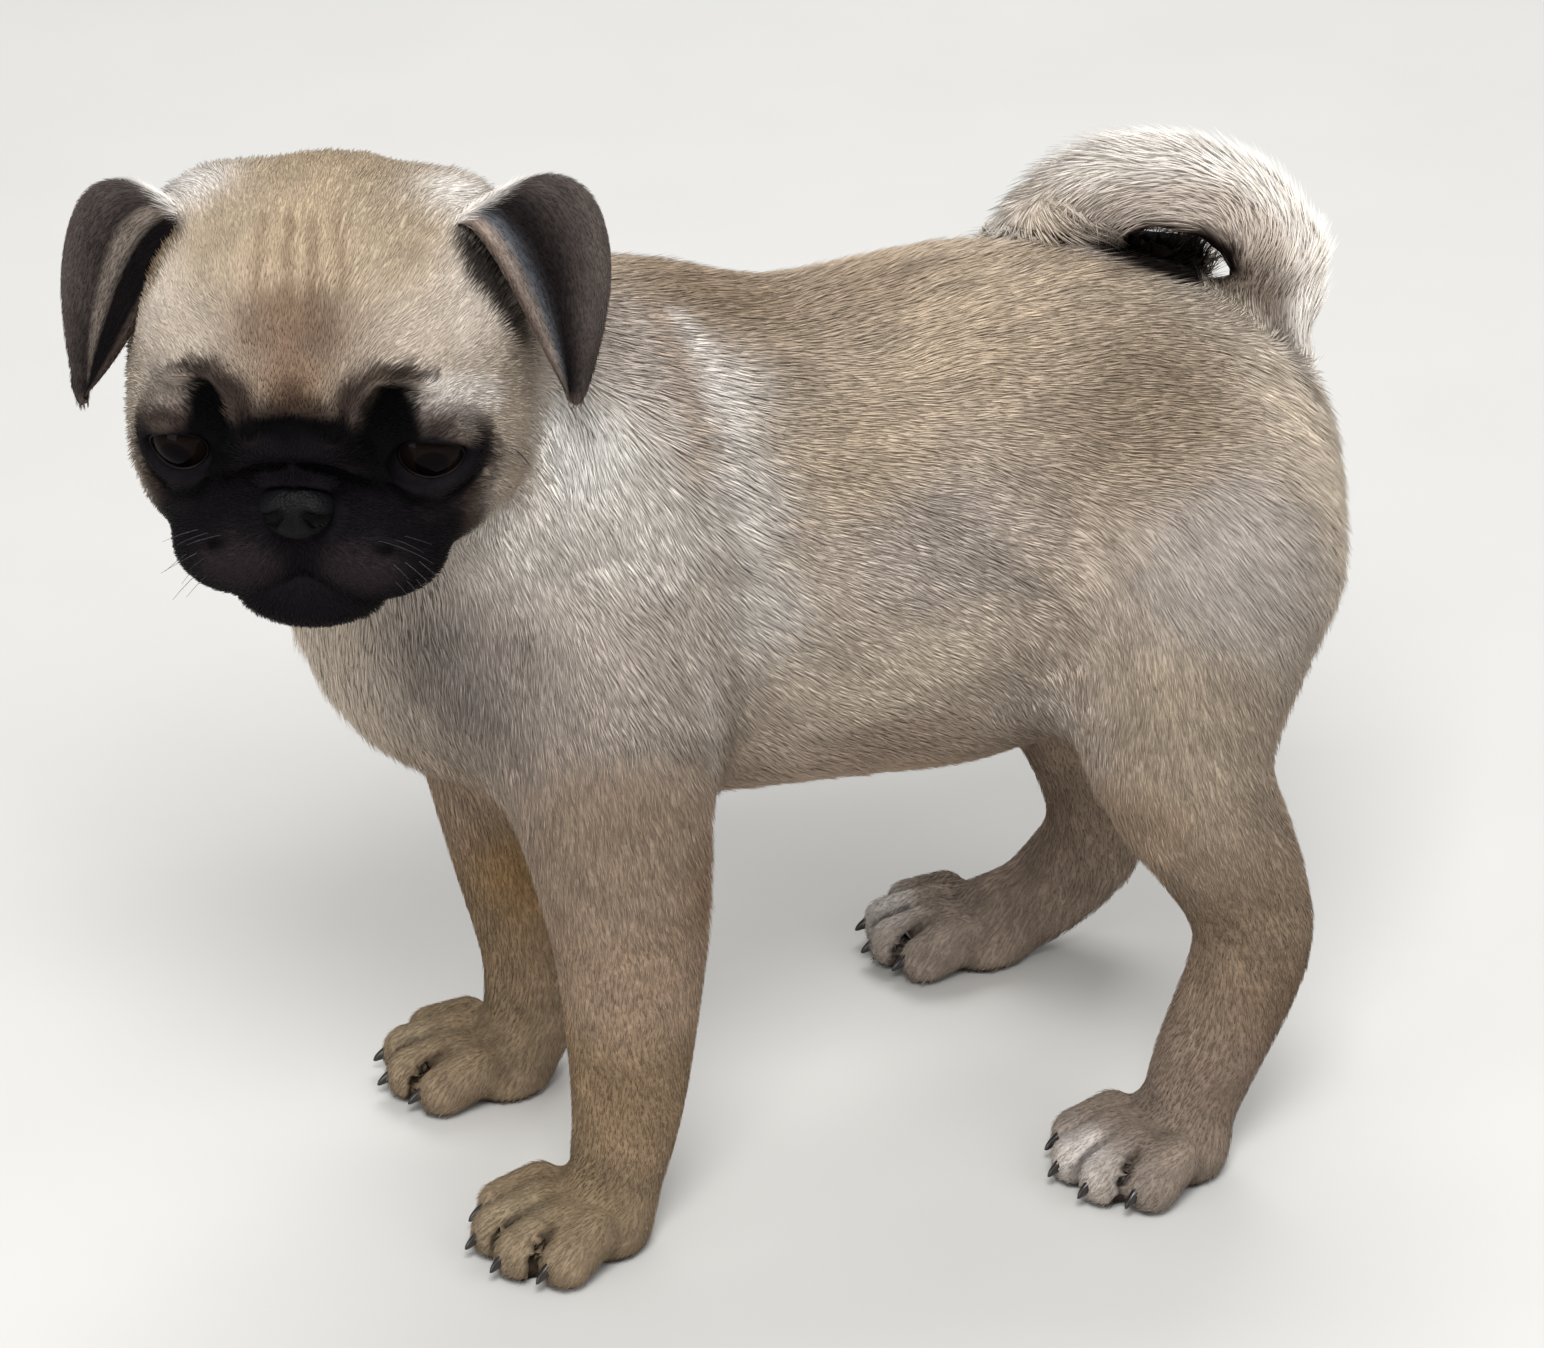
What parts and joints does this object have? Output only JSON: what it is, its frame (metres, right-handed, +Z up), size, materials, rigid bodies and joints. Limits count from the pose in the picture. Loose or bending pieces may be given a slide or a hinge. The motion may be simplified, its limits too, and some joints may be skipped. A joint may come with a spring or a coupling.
{
  "type": "pug puppy figure",
  "caption": "Life-size standing pug puppy with a curled tail, black mask and folded ears, its head turned to its left and looking down.",
  "frame": {"origin": "on the floor, under the middle of the puppy's bounding box", "axes": "-Y is the way the body faces, +X is the puppy's left side, +Z up; the head is turned to the puppy's left"},
  "size_m": [0.158, 0.3022, 0.2704],
  "materials": {
    "fawn_coat": "short dense fawn fur, matte with a soft sheen",
    "black_coat": "short velvety black fur, matte",
    "pale_coat": "short cream fur, matte with a soft sheen",
    "eye_glaze": "wet dark brown eye, glossy",
    "nose_leather": "moist black nose leather, finely pebbled",
    "claw_horn": "black horn, half gloss"
  },
  "bodies": {
    "root": {"torso": "fawn_coat", "neck": "fawn_coat", "head": "fawn_coat", "muzzle": "black_coat", "nose": "nose_leather", "eye_left": "eye_glaze", "eye_right": "eye_glaze", "ear_left": "black_coat", "ear_right": "black_coat", "tail_base": "fawn_coat", "tail_middle": "pale_coat", "tail_tip": "pale_coat", "upper_foreleg_left": "fawn_coat", "forearm_left": "fawn_coat", "forepaw_left": "fawn_coat", "upper_foreleg_right": "fawn_coat", "forearm_right": "fawn_coat", "forepaw_right": "fawn_coat", "thigh_left": "fawn_coat", "shank_left": "fawn_coat", "hind_paw_left": "fawn_coat", "thigh_right": "fawn_coat", "shank_right": "fawn_coat", "hind_paw_right": "fawn_coat", "claw_fore_left_1": "claw_horn", "claw_fore_left_2": "claw_horn", "claw_fore_left_3": "claw_horn", "claw_fore_left_4": "claw_horn", "claw_fore_right_1": "claw_horn", "claw_fore_right_2": "claw_horn", "claw_fore_right_3": "claw_horn", "claw_fore_right_4": "claw_horn", "claw_hind_left_1": "claw_horn", "claw_hind_left_2": "claw_horn", "claw_hind_left_3": "claw_horn", "claw_hind_left_4": "claw_horn", "claw_hind_right_1": "claw_horn", "claw_hind_right_2": "claw_horn", "claw_hind_right_3": "claw_horn", "claw_hind_right_4": "claw_horn"}
  },
  "joints": []
}
